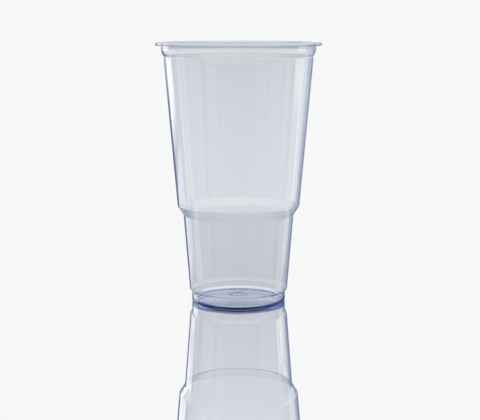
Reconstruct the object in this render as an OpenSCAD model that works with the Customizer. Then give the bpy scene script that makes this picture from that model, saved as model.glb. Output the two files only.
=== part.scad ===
// Tall plastic cold cup, formed from clear plastic in one piece: a thin wall on a thicker floor.
// The section has two faces, the outside and the inside. Each is a line of corners from the middle of
// the floor out to the rolled rim, and each corner is a round bend. The section is turned about Z.
// The cup stands on z = 0. Diameters and heights are those of the outside face.

/* [Wall] */
// Thickness of the wall
sheet_t = 0.45; // [0.3:0.05:0.6]
// Height of the cup, from the table to the top of the rim
cup_h = 150; // [125:1:180]

/* [Rim] */
// Diameter of the rolled rim, which a lid snaps over
rim_d = 95; // [84:0.5:110]
// How far the rim stands out from the collar under it
rim_reach = 3.4; // [2.9:0.1:5]
// Height of the roll, as the diameter of its round section
roll_d = 2.2; // [2:0.1:2.8]
// How far the roll turns from level, down and back in
roll_turn = 150; // [110:5:200]
// Inside radius of the bend where the collar turns out to the rim
neck_bend = 0.8; // [0.4:0.1:1]

/* [Collar] */
// Height of the collar, from the top of the rim to the notch that stops the next cup in a stack
collar_h = 8.1; // [7:0.1:16]
// Height of the step from the collar in to the notch
step_h = 2.5; // [1:0.1:3]
// How far the body lies in from the collar
step_in = 1.4; // [1:0.1:3]
// Inside radius of the bend from the collar into the step
step_bend = 6; // [0.4:0.2:7]
// How far the notch cuts in behind the line of the body
notch_in = 0.2; // [0:0.05:0.6]
// Height of the notch's lower slope, from the body up to the bottom of the notch
notch_h = 0.7; // [0.6:0.1:2]

/* [Body] */
// Diameter of the upper body at its foot, on the upper edge of the shoulder
shoulder_d = 70.4; // [66:0.1:78]
// Height of the upper edge of the shoulder above the table
shoulder_z = 56.4; // [30:0.1:90]
// Height of the shoulder, from its upper edge down to its lower edge
shoulder_h = 5.4; // [2.5:0.1:12]
// Inside radius of the bend on the upper edge of the shoulder
shoulder_bend = 1.6; // [0.2:0.1:2.4]
// Diameter of the lower body at its top, on the lower edge of the shoulder
waist_d = 63.7; // [60:0.1:66]
// Inside radius of the bend on the lower edge of the shoulder
waist_bend = 0.3; // [0.2:0.1:2]

/* [Foot] */
// Diameter of the lower body at its foot, on the upper edge of the ledge
ledge_d = 56.8; // [56:0.1:60]
// Height of the upper edge of the ledge above the table
ledge_z = 7.4; // [5.5:0.1:14]
// Height of the ledge, which turns in from the lower body to the foot
ledge_h = 1.5; // [0.8:0.1:3]
// Inside radius of the ledge's two bends
ledge_bend = 0.4; // [0.2:0.1:1.2]
// Diameter of the foot under the ledge
foot_d = 54.4; // [50:0.1:55.6]
// Width of the ring that the cup stands on, from the foot in to the hollow under the floor
ring_w = 2.8; // [2.2:0.1:5]
// Radius of the outer edge of the standing ring
ring_edge = 1.4; // [0.4:0.1:1.8]

/* [Floor] */
// Thickness of the floor
floor_t = 0.7; // [0.5:0.05:1]
// Height of the edge of the floor above the table, on its underside
floor_rise = 0.6; // [0.4:0.1:1.8]
// How much higher the middle of the floor is than its edge
floor_crown = 2.4; // [0:0.1:3]
// Inside radius of the heel, where the floor turns up into the foot
heel_bend = 1.4; // [0.4:0.1:2]
// Diameter of the raised ring in the middle of the floor
mark_d = 11; // [9:0.5:24]
// Width of the raised ring
mark_w = 2; // [1.8:0.1:2.4]
// Height of the raised ring
mark_h = 0.15; // [0.1:0.05:0.4]
// Diameter of the dimple in the middle of the ring
dimple_d = 3.6; // [2.6:0.1:4]
// Depth of the dimple
dimple_h = 0.15; // [0.1:0.05:0.3]

/* [Hidden] */

// Sides of a full turn about Z
turn_sides = 180;
// How far the flats of a bend may lie from its true round
round_error = 0.008;
// Share of a short straight that stays between two bends
straight_share = 0.04;
// A corner so slight that its bend would take up less than this stays a corner
least_reach = 0.02;
// Straights that each face of the floor's crown is drawn with
crown_steps = 10;
// Radius of the bends in the middle of the floor and at the edge of its crown
mark_bend = 0.2;
// Width of the sloped side of the raised ring and of the dimple
mark_slope = 0.5;
// Width of the sloped side of the hollow under the floor, and the radii of its upper and lower edge
hollow_slope = 0.4;
hollow_bend = 0.3;
hollow_edge = 0.6;
// Inside radius of the notch's bends
notch_bend = 0.2;

// Diameter of the collar, and of the upper body at its top, under the notch
collar_d = rim_d - 2 * rim_reach;
body_d = collar_d - 2 * step_in;
notch_z = cup_h - collar_h;
// Radius of the hollow under the floor
hollow_r = foot_d / 2 - ring_w;
// Middle of the roll's round section
roll_at = [(rim_d - roll_d) / 2, cup_h - roll_d / 2];

function unit(v) = v / norm(v);
function bearing(v) = atan2(v[1], v[0]);
function turned(from, to) = (to - from + 540) % 360 - 180;
function place(corner) = [corner[0], corner[1]];
// Straights that an arc needs
function arc_steps(radius, sweep) = ceil(abs(sweep) / (2 * acos(1 - round_error / radius)));

// Height of the crown's underside at a radius
function crown_z(r) = floor_rise + floor_crown * (1 - pow(r / hollow_r, 2));
// Corners of the crown from one radius out to the edge, moved up by a height
function crown_corners(from, up) = [
    for (k = [0:crown_steps])
        let (r = from + (hollow_r - from) * k / crown_steps)
        [r, crown_z(r) + up, mark_bend]
];

// A face's corners are given as: radius, height, radius of the bend
// Corners of the underside, from its middle out to the standing ring
function under_corners() = concat(
    [for (corner = crown_corners(0, 0)) if (corner[0] < hollow_r) corner],
    [[hollow_r, floor_rise, hollow_bend], [hollow_r + hollow_slope, 0, hollow_edge]]
);
// Corners of the floor's top, from its middle out to the heel
function floor_corners() =
    let (
        dimple_foot = dimple_d / 2 - mark_slope,
        ring_in = mark_d / 2 - mark_w,
        ring_out = mark_d / 2,
        top = function (r, up) [r, crown_z(r) + floor_t + up, mark_bend]
    )
    concat(
        [
            top(0, -dimple_h),
            top(dimple_foot, -dimple_h),
            top(dimple_d / 2, 0),
            top(ring_in, 0),
            top(ring_in + mark_slope, mark_h),
            top(ring_out - mark_slope, mark_h)
        ],
        crown_corners(ring_out, floor_t),
        [[foot_d / 2 - sheet_t, floor_rise + floor_t, heel_bend]]
    );
// Corners of the wall's outside, from the standing ring up to the level start of the roll
function wall_corners() = [
    [foot_d / 2, 0, ring_edge - sheet_t],
    [foot_d / 2, ledge_z - ledge_h, ledge_bend],
    [ledge_d / 2, ledge_z, ledge_bend],
    [waist_d / 2, shoulder_z - shoulder_h, waist_bend],
    [shoulder_d / 2, shoulder_z, shoulder_bend],
    [body_d / 2, notch_z - notch_h, notch_bend],
    [body_d / 2 - notch_in, notch_z, notch_bend],
    [collar_d / 2, notch_z + step_h, step_bend],
    [collar_d / 2, cup_h - sheet_t, neck_bend],
    [roll_at[0], cup_h - sheet_t, 0]
];

// The wall's corners moved to its left by d. A bend is round by its inside radius on the face that lies
// inside of it, and by the wall's thickness more on the other face.
function wall_face(d) =
    let (
        cs = wall_corners(),
        last = len(cs) - 1
    )
    [
        for (i = [0:last])
            let (
                into = unit(place(cs[max(i, 1)]) - place(cs[max(i, 1) - 1])),
                out = unit(place(cs[min(i, last - 1) + 1]) - place(cs[min(i, last - 1)])),
                along = unit(into + out),
                at = place(cs[i]) + [-along[1], along[0]] * d / (along * into),
                to_left = turned(bearing(into), bearing(out)) > 0
            )
            [at[0], at[1], cs[i][2] + (to_left ? sheet_t - d : d)]
    ];

// Length of straight that a corner's bend takes up on each side
function reach(cs, i) =
    i == 0 || i == len(cs) - 1 ? 0 :
    let (
        into = bearing(place(cs[i]) - place(cs[i - 1])),
        out = bearing(place(cs[i + 1]) - place(cs[i]))
    )
    cs[i][2] * tan(abs(turned(into, out)) / 2);
// Share of its full size that a bend gets, where two bends meet on a short straight
function room(cs, i) =
    let (
        before = norm(place(cs[i]) - place(cs[i - 1])) / (reach(cs, i) + reach(cs, i - 1)),
        after = norm(place(cs[i + 1]) - place(cs[i])) / (reach(cs, i) + reach(cs, i + 1))
    )
    min(1, (1 - straight_share) * min(before, after));
// Points of one corner's bend
function bend(cs, i) =
    let (
        corner = place(cs[i]),
        back = unit(place(cs[i - 1]) - corner),
        ahead = unit(place(cs[i + 1]) - corner),
        radius = cs[i][2] * room(cs, i),
        side = reach(cs, i) * room(cs, i)
    )
    side < least_reach ? [corner] :
    let (
        middle = corner + unit(back + ahead) * norm([radius, side]),
        start = bearing(corner + back * side - middle),
        sweep = turned(start, bearing(corner + ahead * side - middle)),
        steps = arc_steps(radius, sweep)
    )
    [for (k = [0:steps]) let (a = start + sweep * k / steps) middle + radius * [cos(a), sin(a)]];

// A face with all its bends, and then the roll of the rim with that face's radius
function face(cs, roll_r) =
    let (
        last = len(cs) - 1,
        steps = arc_steps(roll_r, roll_turn)
    )
    [
        place(cs[0]),
        for (i = [1:last - 1]) each bend(cs, i),
        for (k = [0:steps]) let (a = 90 - roll_turn * k / steps) roll_at + roll_r * [cos(a), sin(a)]
    ];

module section() {
    outside = face(concat(under_corners(), wall_face(0)), roll_d / 2 - sheet_t);
    inner_wall = [for (i = [1:len(wall_corners()) - 1]) wall_face(sheet_t)[i]];
    inside = face(concat(floor_corners(), inner_wall), roll_d / 2);
    polygon(concat(outside, [for (i = [len(inside) - 1:-1:0]) inside[i]]));
}

module cup() {
    color([0.8, 0.87, 0.97, 0.45]) rotate_extrude($fn = turn_sides) section();
}

cup();
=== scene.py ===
import bpy
import math
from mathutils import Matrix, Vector


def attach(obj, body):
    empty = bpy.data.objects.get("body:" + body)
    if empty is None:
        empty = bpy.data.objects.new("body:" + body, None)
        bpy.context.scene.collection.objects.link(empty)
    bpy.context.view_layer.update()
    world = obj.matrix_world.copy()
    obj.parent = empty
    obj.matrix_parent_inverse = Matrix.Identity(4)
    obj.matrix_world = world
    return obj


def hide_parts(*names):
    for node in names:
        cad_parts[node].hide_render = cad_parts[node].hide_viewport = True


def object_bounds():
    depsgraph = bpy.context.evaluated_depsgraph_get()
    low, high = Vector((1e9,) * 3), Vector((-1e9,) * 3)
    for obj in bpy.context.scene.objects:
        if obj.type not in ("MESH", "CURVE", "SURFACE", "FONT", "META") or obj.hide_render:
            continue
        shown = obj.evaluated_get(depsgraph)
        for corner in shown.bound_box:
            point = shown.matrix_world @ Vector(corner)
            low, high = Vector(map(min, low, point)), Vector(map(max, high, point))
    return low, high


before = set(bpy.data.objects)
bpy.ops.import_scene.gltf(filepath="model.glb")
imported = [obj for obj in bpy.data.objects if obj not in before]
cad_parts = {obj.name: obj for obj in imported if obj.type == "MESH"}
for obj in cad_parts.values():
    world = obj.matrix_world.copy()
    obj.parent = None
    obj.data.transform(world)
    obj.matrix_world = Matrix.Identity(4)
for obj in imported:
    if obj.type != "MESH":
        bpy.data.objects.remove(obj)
cad_low, cad_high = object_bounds()
scene = bpy.context.scene


# ---------------------------------------------------------------- Camera
# A long lens a little above the rim's height, looking down the front of the cup.
# It stands two thirds of a metre away, so that the rim is seen almost edge on and
# the foot from a little above.
camera_place = (0.00086, -0.670, 0.1587)
# In degrees below level
camera_dip = 8.94
camera_lens = 87.6
camera_sensor = 36.0

camera_data = bpy.data.cameras.new("camera")
camera_data.lens = camera_lens
camera_data.sensor_width = camera_sensor
camera = bpy.data.objects.new("camera", camera_data)
camera.location = camera_place
camera.rotation_euler = (math.radians(90 - camera_dip), 0, 0)
scene.collection.objects.link(camera)
scene.camera = camera


# ---------------------------------------------------------------- Floor of the cup
# The plate that closes the cup, thicker than the wall and domed up a little so that the cup
# stands on the ring round it alone. A plain raised ring and a dimple mark the middle of its top.
sheet_t = 0.00045
foot_r = 0.0272
ring_w = 0.0028
hollow_r = foot_r - ring_w
floor_t = 0.0007
floor_rise = 0.0006
floor_crown = 0.0024
crown_steps = 10
heel_bend = 0.0014
mark_r = 0.0055
mark_w = 0.0020
mark_h = 0.00015
mark_slope = 0.0005
mark_bend = 0.0002
dimple_r = 0.0018
dimple_h = 0.00015


def crown_z(r):
    """Height of the dome's underside at a radius."""
    return floor_rise + floor_crown * (1 - (r / hollow_r) ** 2)


def crown_corners(start_r, up):
    """Corners along the dome, from a radius out to the edge of the hollow under it."""
    radii = [start_r + (hollow_r - start_r) * k / crown_steps for k in range(crown_steps + 1)]
    return [(r, crown_z(r) + up, mark_bend) for r in radii]


# Corners from the axis out, each with its radius, its height and the radius of its bend
floor_corners = [
    (r, crown_z(r) + floor_t + up, mark_bend)
    for r, up in (
        (0, -dimple_h),
        (dimple_r - mark_slope, -dimple_h),
        (dimple_r, 0),
        (mark_r - mark_w, 0),
        (mark_r - mark_w + mark_slope, mark_h),
        (mark_r - mark_slope, mark_h),
    )
]
floor_corners += crown_corners(mark_r, floor_t)
floor_corners.append((foot_r - sheet_t, floor_rise + floor_t, heel_bend))
under_corners = crown_corners(0, 0)[:-1]


# ---------------------------------------------------------------- Foot
# The floor's edge turns down to the ring that the cup stands on, and up at the heel into a
# short upright foot. A small ledge over it turns the plastic out to the wall.
hollow_slope = 0.0004
hollow_bend = 0.0003
hollow_edge = 0.0006
ring_edge = 0.0014
ledge_r = 0.0284
ledge_z = 0.0074
ledge_h = 0.0015
ledge_bend = 0.0004

under_corners += [
    (hollow_r, floor_rise, hollow_bend),
    (hollow_r + hollow_slope, 0, hollow_edge),
]
# The wall's bends are given by their inside radius
wall_corners = [
    (foot_r, 0, ring_edge - sheet_t),
    (foot_r, ledge_z - ledge_h, ledge_bend),
    (ledge_r, ledge_z, ledge_bend),
]


# ---------------------------------------------------------------- Body
# Two long tapered walls of one thickness with a sloped shoulder between them. The taper
# lets the cup leave its mould and drop into the next one.
waist_r = 0.03185
waist_bend = 0.0003
shoulder_r = 0.0352
shoulder_z = 0.0564
shoulder_h = 0.0054
shoulder_bend = 0.0016
body_r = 0.0427
notch_z = 0.1419
notch_h = 0.0007
notch_bend = 0.0002

wall_corners += [
    (waist_r, shoulder_z - shoulder_h, waist_bend),
    (shoulder_r, shoulder_z, shoulder_bend),
    (body_r, notch_z - notch_h, notch_bend),
]


# ---------------------------------------------------------------- Collar and rolled rim
# The wall stands out as a collar above a sharp notch, where the next cup in a stack comes to
# rest. Its edge is rolled out and down into an open hook, which a lid grips.
cup_h = cad_high[2]
collar_r = 0.0441
notch_in = 0.0002
step_h = 0.0025
step_bend = 0.0060
neck_bend = 0.0008
rim_r = cad_high[0]
roll_r = 0.0011
# In degrees, from the top of the roll
roll_turn = 150
roll_middle = Vector((rim_r - roll_r, cup_h - roll_r))

wall_corners += [
    (body_r - notch_in, notch_z, notch_bend),
    (collar_r, notch_z + step_h, step_bend),
    (collar_r, cup_h - sheet_t, neck_bend),
    (roll_middle.x, cup_h - sheet_t, 0),
]


# ---------------------------------------------------------------- The clear shell
# One piece of clear plastic, formed in a mould. Its outside and inside faces are lines of
# corners with round bends, turned about the cup's axis.
bend_flat = math.radians(5)
straight_piece = 0.006
turn_sides = 240
lip_steps = 8
# The share of a straight that the bends at its ends may take up
bend_share = 0.98
# Keeps a division good where neither corner has a bend
hair = 1e-12


def left_of(way):
    return Vector((-way.y, way.x))


def turn_between(into, out):
    """More than 0 where the line turns left, and less where it turns right."""
    return into.x * out.y - into.y * out.x


def wall_face(d):
    """The wall's corners moved in by d. A bend is wider by the wall's thickness on its outer side."""
    places = [Vector((r, z)) for r, z, bend in wall_corners]
    found = []
    for i, place in enumerate(places):
        into = (place - places[i - 1]).normalized() if i else (places[1] - place).normalized()
        out = (places[i + 1] - place).normalized() if 0 < i < len(places) - 1 else into
        along = (into + out).normalized()
        at = place + left_of(along) * d / along.dot(into)
        # The first corner is the heel, where the line comes out from under the cup and turns up
        to_left = i == 0 or turn_between(into, out) > 0
        found.append((at.x, at.y, wall_corners[i][2] + (sheet_t - d if to_left else d)))
    return found


def bent(corners):
    """Points of one face with the way it runs at each. Where a bend doesn't fit, it is made tighter."""
    places = [Vector((r, z)) for r, z, bend in corners]
    last = len(places) - 1
    turns = [0] * (last + 1)
    reach = [0] * (last + 1)
    for i in range(1, last):
        into = (places[i] - places[i - 1]).normalized()
        out = (places[i + 1] - places[i]).normalized()
        turns[i] = math.atan2(turn_between(into, out), into.dot(out))
        reach[i] = corners[i][2] * math.tan(abs(turns[i]) / 2)
    line = [(places[0], Vector((1, 0)))]
    for i in range(1, last):
        before = (places[i] - places[i - 1]).length / (reach[i] + reach[i - 1] + hair)
        after = (places[i + 1] - places[i]).length / (reach[i] + reach[i + 1] + hair)
        fits = min(1, bend_share * before, bend_share * after)
        into = (places[i] - places[i - 1]).normalized()
        radius = corners[i][2] * fits
        side = math.copysign(1, turns[i])
        start = places[i] - into * reach[i] * fits
        middle = start + left_of(into) * side * radius
        steps = max(2, math.ceil(abs(turns[i]) / bend_flat))
        for k in range(steps + 1):
            a = turns[i] * k / steps
            way = Vector((into.x * math.cos(a) - into.y * math.sin(a),
                          into.x * math.sin(a) + into.y * math.cos(a)))
            line.append((middle - left_of(way) * side * radius, way))
    line.append((places[last], (places[last] - places[last - 1]).normalized()))
    return line


def rolled(radius):
    """Points of one face round the roll, from level down and back in."""
    line = []
    steps = math.ceil(math.radians(roll_turn) / bend_flat)
    for k in range(1, steps + 1):
        a = math.radians(90 - roll_turn * k / steps)
        out = Vector((math.cos(a), math.sin(a)))
        line.append((roll_middle + out * radius, Vector((out.y, -out.x))))
    return line


def in_pieces(line):
    """The same line with its long straights cut into shorter pieces."""
    cut = [line[0]]
    for (p, way), (q, next_way) in zip(line, line[1:]):
        pieces = max(1, math.ceil((q - p).length / straight_piece))
        for k in range(1, pieces):
            cut.append((p.lerp(q, k / pieces), way.lerp(next_way, k / pieces).normalized()))
        cut.append((q, next_way))
    return cut


def section_ring():
    """Both faces as one closed run of points with the way each faces: out, round the lip, and back in."""
    out_line = bent(under_corners + wall_face(0)) + rolled(roll_r - sheet_t)
    in_line = bent(floor_corners + wall_face(sheet_t)[1:]) + rolled(roll_r)
    outside = [(p, -left_of(way)) for p, way in in_pieces(out_line)]
    inside = [(p, left_of(way)) for p, way in in_pieces(in_line)]
    end, out = outside[-1]
    middle = (end + inside[-1][0]) / 2
    way = Vector((-out.y, out.x))
    lip = []
    for k in range(1, lip_steps):
        a = math.pi * k / lip_steps
        turned = out * math.cos(a) + way * math.sin(a)
        lip.append((middle + turned * sheet_t / 2, turned))
    return outside + lip + inside[::-1]


def turned_sheet(name):
    """The section turned about the cup's axis, with one point at each end where it meets the axis."""
    ring = section_ring()
    rows = len(ring)
    places = []
    facings = []
    faces = []
    for i, (p, n) in enumerate(ring):
        if i == 0 or i == rows - 1:
            places.append((0, 0, p.y))
            facings.append((0, 0, n.y))
            continue
        for k in range(turn_sides):
            a = 2 * math.pi * k / turn_sides
            places.append((p.x * math.cos(a), p.x * math.sin(a), p.y))
            facings.append((n.x * math.cos(a), n.x * math.sin(a), n.y))

    def at(i, k):
        if i == 0:
            return 0
        if i == rows - 1:
            return len(places) - 1
        return 1 + (i - 1) * turn_sides + k % turn_sides

    for i in range(rows - 1):
        for k in range(turn_sides):
            if i == 0:
                faces.append((at(0, 0), at(1, k + 1), at(1, k)))
            elif i == rows - 2:
                faces.append((at(i, k), at(i, k + 1), at(rows - 1, 0)))
            else:
                faces.append((at(i, k), at(i, k + 1), at(i + 1, k + 1), at(i + 1, k)))
    mesh = bpy.data.meshes.new(name)
    mesh.from_pydata(places, [], faces)
    mesh.validate()
    mesh.shade_smooth()
    mesh.normals_split_custom_set_from_vertices([Vector(n).normalized() for n in facings])
    piece = bpy.data.objects.new(name, mesh)
    scene.collection.objects.link(piece)
    return piece


# How strongly the plastic bends light, and the tint that light takes on along its way in it
refraction = 1.57
tint_color = (0.0, 0.287, 0.82, 1)
tint_depth = 150.0
# The sheet was stretched into its mould while warm, so it keeps faint flow lines that run
# down the wall, and its polish is a little uneven from place to place
polish_best = 0.002
polish_worst = 0.010
polish_patches = 260.0
polish_detail = 2.0
patches_low = 0.3
patches_high = 0.7
flow_lines = 170.0
flow_detail = 1.0
flow_stretch = (1.0, 1.0, 0.045)
flow_depth = 0.000006


def clear_plastic():
    """Clear PET with a faint blue tint, which only shows strongly where the sheet is seen edge on."""
    made = bpy.data.materials.new("clear_plastic")
    made.use_nodes = True
    nodes = made.node_tree.nodes
    links = made.node_tree.links
    shader = nodes["Principled BSDF"]
    shader.inputs["Base Color"].default_value = (1, 1, 1, 1)
    shader.inputs["IOR"].default_value = refraction
    shader.inputs["Transmission Weight"].default_value = 1.0
    place = nodes.new("ShaderNodeTexCoord")
    patches = nodes.new("ShaderNodeTexNoise")
    patches.inputs["Scale"].default_value = polish_patches
    patches.inputs["Detail"].default_value = polish_detail
    links.new(place.outputs["Object"], patches.inputs["Vector"])
    polish = nodes.new("ShaderNodeMapRange")
    polish.inputs["From Min"].default_value = patches_low
    polish.inputs["From Max"].default_value = patches_high
    polish.inputs["To Min"].default_value = polish_best
    polish.inputs["To Max"].default_value = polish_worst
    links.new(patches.outputs["Fac"], polish.inputs["Value"])
    links.new(polish.outputs["Result"], shader.inputs["Roughness"])
    stretch = nodes.new("ShaderNodeMapping")
    stretch.inputs["Scale"].default_value = flow_stretch
    links.new(place.outputs["Object"], stretch.inputs["Vector"])
    flow = nodes.new("ShaderNodeTexNoise")
    flow.inputs["Scale"].default_value = flow_lines
    flow.inputs["Detail"].default_value = flow_detail
    links.new(stretch.outputs["Vector"], flow.inputs["Vector"])
    bump = nodes.new("ShaderNodeBump")
    bump.inputs["Strength"].default_value = 1.0
    bump.inputs["Distance"].default_value = flow_depth
    links.new(flow.outputs["Fac"], bump.inputs["Height"])
    links.new(bump.outputs["Normal"], shader.inputs["Normal"])
    tint = nodes.new("ShaderNodeVolumeAbsorption")
    tint.inputs["Color"].default_value = tint_color
    tint.inputs["Density"].default_value = tint_depth
    links.new(tint.outputs["Volume"], nodes["Material Output"].inputs["Volume"])
    return made


cup = turned_sheet("cup_shell")
cup.data.materials.append(clear_plastic())
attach(cup, "root")
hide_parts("cup")


# ---------------------------------------------------------------- Table
# A plain white sheet with a high polish, far wider than the camera sees. The cup stands loose
# on it, and it shows the cup again below itself.
table_half = 30.0
table_drop = 0.00002
table_white = 1.0
table_polish = 0.95
# Past this radius, light that has been mirrored before goes through the table to the low boxes
mirror_r = 0.040

table_mesh = bpy.data.meshes.new("table")
table_corners = [(x * table_half, y * table_half, 0) for x, y in ((-1, -1), (1, -1), (1, 1), (-1, 1))]
table_mesh.from_pydata(table_corners, [], [(0, 1, 2, 3)])
table = bpy.data.objects.new("table", table_mesh)
table.location.z = -table_drop
scene.collection.objects.link(table)


def join(tree, socket, value):
    """A number or a colour is set on the socket, and another node's output is linked to it."""
    if isinstance(value, (int, float, tuple)):
        socket.default_value = value
    else:
        tree.links.new(value, socket)


def maths(tree, operation, a, b=0.0, c=0.0):
    node = tree.nodes.new("ShaderNodeMath")
    node.operation = operation
    for socket, value in zip(node.inputs, (a, b, c)):
        join(tree, socket, value)
    return node.outputs[0]


def polished_white():
    """Mirror over white. It is clear from below, so that the cup can be seen from underneath."""
    made = bpy.data.materials.new("polished_white")
    made.use_nodes = True
    tree = made.node_tree
    tree.nodes.remove(tree.nodes["Principled BSDF"])

    flat = tree.nodes.new("ShaderNodeBsdfDiffuse")
    flat.inputs["Color"].default_value = (table_white, table_white, table_white, 1)
    polish = tree.nodes.new("ShaderNodeBsdfGlossy")
    polish.inputs["Roughness"].default_value = 0.0
    polish.inputs["Color"].default_value = (1, 1, 1, 1)
    top = tree.nodes.new("ShaderNodeMixShader")
    top.inputs["Fac"].default_value = table_polish
    tree.links.new(flat.outputs[0], top.inputs[1])
    tree.links.new(polish.outputs[0], top.inputs[2])

    path = tree.nodes.new("ShaderNodeLightPath")
    place = tree.nodes.new("ShaderNodeNewGeometry")
    reach = tree.nodes.new("ShaderNodeVectorMath")
    reach.operation = "LENGTH"
    tree.links.new(place.outputs["Position"], reach.inputs[0])
    beyond = maths(tree, "GREATER_THAN", reach.outputs["Value"], mirror_r)
    # Depths are whole numbers, so 0.5 tells light that hasn't been mirrored from light that has
    mirrored = maths(tree, "GREATER_THAN", path.outputs["Glossy Depth"], 0.5)
    gone = maths(tree, "MAXIMUM", maths(tree, "MULTIPLY", beyond, mirrored), place.outputs["Backfacing"])

    clear = tree.nodes.new("ShaderNodeBsdfTransparent")
    mixed = tree.nodes.new("ShaderNodeMixShader")
    tree.links.new(gone, mixed.inputs["Fac"])
    tree.links.new(top.outputs[0], mixed.inputs[1])
    tree.links.new(clear.outputs[0], mixed.inputs[2])
    tree.links.new(mixed.outputs[0], tree.nodes["Material Output"].inputs["Surface"])
    return made


table.data.materials.append(polished_white())


# ---------------------------------------------------------------- Light
# A studio room as the clear plastic mirrors and bends it. Soft boxes stand in three rows round
# the table with deep blue cloth between them, and larger ones hang over the camera and the rear.
# Behind the cup is a white backdrop, dark level with the table's far edge and dim in a band over it.
cloth = (0.0, 0.050, 0.19)
backdrop_white = 0.939
backdrop_tint = (1.0, 1.0, 0.965)
table_sky = 0.965
panel_edge = 0.012

# Each soft box has its left and right edge, as a share of a half turn from the camera's
# side and positive to the right, and its brightness
upper_row = (
    ("behind, left", -1.00, -0.92, 0.80),
    ("left rear window", -0.83, -0.67, 1.85),
    ("left", -0.62, -0.30, 0.25),
    ("right", 0.34, 0.74, 0.30),
    ("right rear gap", 0.76, 0.90, 0.10),
    ("behind, right", 0.92, 1.00, 0.35),
)
middle_row = (
    ("behind, left", -0.96, -0.84, 0.10),
    ("left rear", -0.82, -0.59, 0.60),
    ("left", -0.50, -0.34, 0.35),
    ("left front", -0.27, -0.19, 0.30),
    ("right front", 0.29, 0.31, 0.40),
    ("right", 0.34, 0.42, 0.20),
    ("right screen", 0.44, 0.52, 0.50),
    ("right rear", 0.54, 0.68, 0.70),
)
low_row = (
    ("behind, left", -1.00, -0.84, 0.60),
    ("left rear", -0.82, -0.60, 0.75),
    ("left", -0.58, -0.34, 0.40),
    ("left front", -0.32, -0.12, 0.28),
    ("front", -0.10, 0.34, 0.12),
    ("right", 0.36, 0.50, 0.30),
    ("right rear", 0.52, 0.66, 0.65),
    ("behind, right", 0.68, 1.00, 0.35),
)
# The low row's share against the middle row's at each height: it shows level with the table and
# well below it. Heights are sines of the angle up, here and after.
low_row_share = (
    (-0.345, 1.0),
    (-0.30, 0.8),
    (-0.22, 0.0),
    (-0.10, 0.0),
    (-0.04, 1.0),
    (0.0, 1.0),
    (0.045, 0.8),
    (0.13, 0.0),
)
# Where the upper row takes over. A pair is where a soft step begins and where it is complete.
upper_row_from = (0.16, 0.24)

# Tall boxes in front of the rows: edges, brightness, and where each starts and ends in height
tall_boxes = (
    ("left rear tall box", -0.82, -0.70, 2.05, (-0.165, -0.120), (0.19, 0.21)),
    ("left rear low box", -0.83, -0.67, 1.30, (-0.28, -0.25), (-0.19, -0.17)),
    ("right rear tall box", 0.55, 0.64, 1.60, (-0.19, -0.14), (0.19, 0.21)),
    ("right rear screen", 0.70, 0.94, 0.28, (-0.30, -0.26), (0.19, 0.21)),
)

# The other large surfaces: how bright each is, and where it starts and ends
backdrop_turn = (0.953, 0.969)
backdrop_from = (-0.12, -0.08)
ceiling_edge = 0.35
ceiling_edge_from = (0.36, 0.50)
ceiling_middle = 0.0
ceiling_middle_from = (0.58, 0.66)
camera_box = 0.80
camera_box_front = (-0.1, 0.3)
camera_box_from = (0.55, 0.65)
camera_box_to = (0.90, 0.95)
rear_box = 0.60
rear_box_turn = (0.70, 0.76)
rear_box_from = (0.74, 0.78)
rear_box_to = (0.92, 0.96)
ground = 0.12
ground_to = (-0.50, -0.36)

# How bright the backdrop is at each angle up or down, in degrees
backdrop = (
    (0.0, 0.20),
    (0.80, 0.22),
    (1.0, 0.50),
    (1.35, 0.83),
    (2.6, 0.89),
    (6.0, 0.95),
    (8.5, 0.97),
    (9.05, 0.93),
    (9.25, 0.79),
    (11.9, 0.78),
    (12.4, 0.75),
    (13.0, 0.80),
    (14.3, 0.86),
    (17.2, 0.93),
    (18.6, 0.96),
    (21.0, 1.12),
)
# The lowest rays that see the backdrop through the cup, and through the mirrored cup
backdrop_lowest = -0.45
mirrored_lowest = 0.17
# In a strip over the rear the mirrored cup shows the ceiling instead
strip_turn = (0.84, 0.90)
strip_from = (0.36, 0.40)
strip_to = (0.62, 0.66)

world = bpy.data.worlds.new("room")
scene.world = world
world.use_nodes = True
# The room isn't sampled as a lamp is, so that every ray keeps its kind and its depths
world.cycles.sampling_method = "NONE"
sky = world.node_tree


def times(*values):
    product = values[0]
    for value in values[1:]:
        product = maths(sky, "MULTIPLY", product, value)
    return product


def less(a, b):
    """1 where a is under b, and 0 elsewhere."""
    return maths(sky, "LESS_THAN", a, b)


def other(value):
    """1 where the value is 0, and 0 where it is 1."""
    return maths(sky, "SUBTRACT", 1.0, value)


def step(value, start, end):
    """0 before the start, 1 after the end, and smooth between them."""
    node = sky.nodes.new("ShaderNodeMapRange")
    node.interpolation_type = "SMOOTHSTEP"
    node.inputs["From Min"].default_value = start
    node.inputs["From Max"].default_value = end
    sky.links.new(value, node.inputs["Value"])
    return node.outputs[0]


def mix(share, a, b, way="MIX"):
    """Colour a where the share is 0 and colour b where it is 1, or the lighter one with LIGHTEN."""
    node = sky.nodes.new("ShaderNodeMix")
    node.data_type = "RGBA"
    node.blend_type = way
    for name, value in (("Factor", share), ("A", a), ("B", b)):
        join(sky, node.inputs[name], value)
    return node.outputs["Result"]


def ramp(stops, at):
    """Colours that run from one stop to the next along a line from 0 to 1."""
    node = sky.nodes.new("ShaderNodeValToRGB")
    elements = node.color_ramp.elements
    elements.remove(elements[1])
    for k, (place, color) in enumerate(stops):
        stop = elements[0] if k == 0 else elements.new(place)
        stop.position = place
        stop.color = color
    sky.links.new(at, node.inputs[0])
    return node.outputs["Color"]


def grey(bright):
    return (bright, bright, bright, 1)


def lit(bright):
    """From the blue of the cloth at 0 to the backdrop's white at 1."""
    return tuple(dark + bright * (backdrop_white - dark) for dark in cloth) + (1,)


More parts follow.
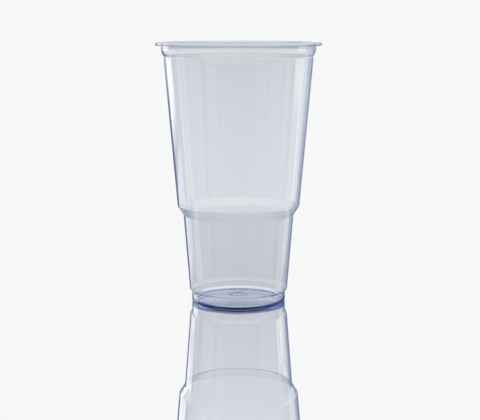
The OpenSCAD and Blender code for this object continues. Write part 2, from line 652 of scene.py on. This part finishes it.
def row(boxes, at):
    """One row of soft boxes, with cloth between each and the next."""
    stops = []
    for name, left, right, bright in boxes:
        if left > -1:
            stops.append((left - panel_edge, lit(0)))
        stops += [(left, lit(bright)), (right, lit(bright))]
        if right < 1:
            stops.append((right + panel_edge, lit(0)))
    return ramp([(0.5 + place / 2, color) for place, color in stops], at)


def soft_boxes(up, turn):
    """The three rows with the tall boxes in front of them."""
    round_place = maths(sky, "MULTIPLY_ADD", turn, 0.5, 0.5)
    low_share = ramp([(0.5 + z, grey(share)) for z, share in low_row_share], maths(sky, "ADD", up, 0.5))
    boxes = mix(low_share, row(middle_row, round_place), row(low_row, round_place))
    boxes = mix(step(up, *upper_row_from), boxes, row(upper_row, round_place))
    for name, left, right, bright, start, end in tall_boxes:
        across = times(step(turn, left - panel_edge, left), other(step(turn, right, right + panel_edge)))
        box = times(across, step(up, *start), other(step(up, *end)))
        boxes = mix(box, boxes, lit(bright), "LIGHTEN")
    return boxes


def white_backdrop(up):
    """The backdrop by how steep a ray is, the same up and down."""
    stops = []
    for angle, bright in backdrop:
        color = tuple(bright * backdrop_white * tint for tint in backdrop_tint) + (1,)
        stops.append((math.sin(math.radians(angle)), color))
    return ramp(stops, maths(sky, "ABSOLUTE", up))


# Each ray's height and how far it turns from the camera's side
direction = sky.nodes.new("ShaderNodeTexCoord")
part = sky.nodes.new("ShaderNodeSeparateXYZ")
sky.links.new(direction.outputs["Generated"], part.inputs[0])
up = part.outputs["Z"]
toward = times(part.outputs["Y"], -1.0)
turn = times(maths(sky, "ARCTAN2", part.outputs["X"], toward), 1 / math.pi)
aside = maths(sky, "ABSOLUTE", turn)

seen_through = white_backdrop(up)
room = mix(times(step(aside, *backdrop_turn), step(up, *backdrop_from)), soft_boxes(up, turn), seen_through)
room = mix(step(up, *ceiling_edge_from), room, lit(ceiling_edge))
room = mix(step(up, *ceiling_middle_from), room, lit(ceiling_middle))
over_camera = times(step(up, *camera_box_from), other(step(up, *camera_box_to)))
room = mix(times(step(toward, *camera_box_front), over_camera), room, lit(camera_box))
over_rear = times(step(up, *rear_box_from), other(step(up, *rear_box_to)))
room = mix(times(step(aside, *rear_box_turn), over_rear), room, lit(rear_box))
room = mix(other(step(up, *ground_to)), room, lit(ground))

# Rays that have only passed through the cup see the backdrop on every side. So do those that
# have been mirrored once as well and head up, off the table or steeply through the mirrored cup.
# Depths are whole numbers, so 0.5 and 1.5 tell none, one and more apart.
path = sky.nodes.new("ShaderNodeLightPath")
mirrors = path.outputs["Glossy Depth"]
reflected = path.outputs["Is Reflection Ray"]
outside = less(path.outputs["Transmission Depth"], 0.5)
one_mirror = times(less(0.5, mirrors), less(mirrors, 1.5))
sent_up = times(reflected, one_mirror, less(0.0, up))
straight = times(less(mirrors, 0.5), other(outside))
strip = times(step(up, *strip_from), other(step(up, *strip_to)), step(aside, *strip_turn))
mirrored_cup = times(other(reflected), one_mirror, less(mirrored_lowest, up), other(strip))
through_cup = maths(sky, "MAXIMUM", times(sent_up, other(outside)), straight)
seen = maths(sky, "MAXIMUM", through_cup, mirrored_cup)
room = mix(times(seen, less(backdrop_lowest, up)), room, seen_through)

# The table, and the cup's outer face where it mirrors upward, show a plain pale sky, and the
# camera sees plain white behind the cup
room = mix(times(sent_up, outside), room, grey(table_sky))
room = mix(path.outputs["Is Camera Ray"], room, grey(backdrop_white))
sky.links.new(room, sky.nodes["Background"].inputs["Color"])
sky.nodes["Background"].inputs["Strength"].default_value = 1.0


# ---------------------------------------------------------------- Finish
# Colours come out as they are written. Light crosses the cup's wall many times on its way
# through the rim, the foot and the mirrored cup, so it is followed for many steps.
scene.view_settings.view_transform = "Standard"
scene.cycles.max_bounces = 32
scene.cycles.transmission_bounces = 32
scene.cycles.glossy_bounces = 16
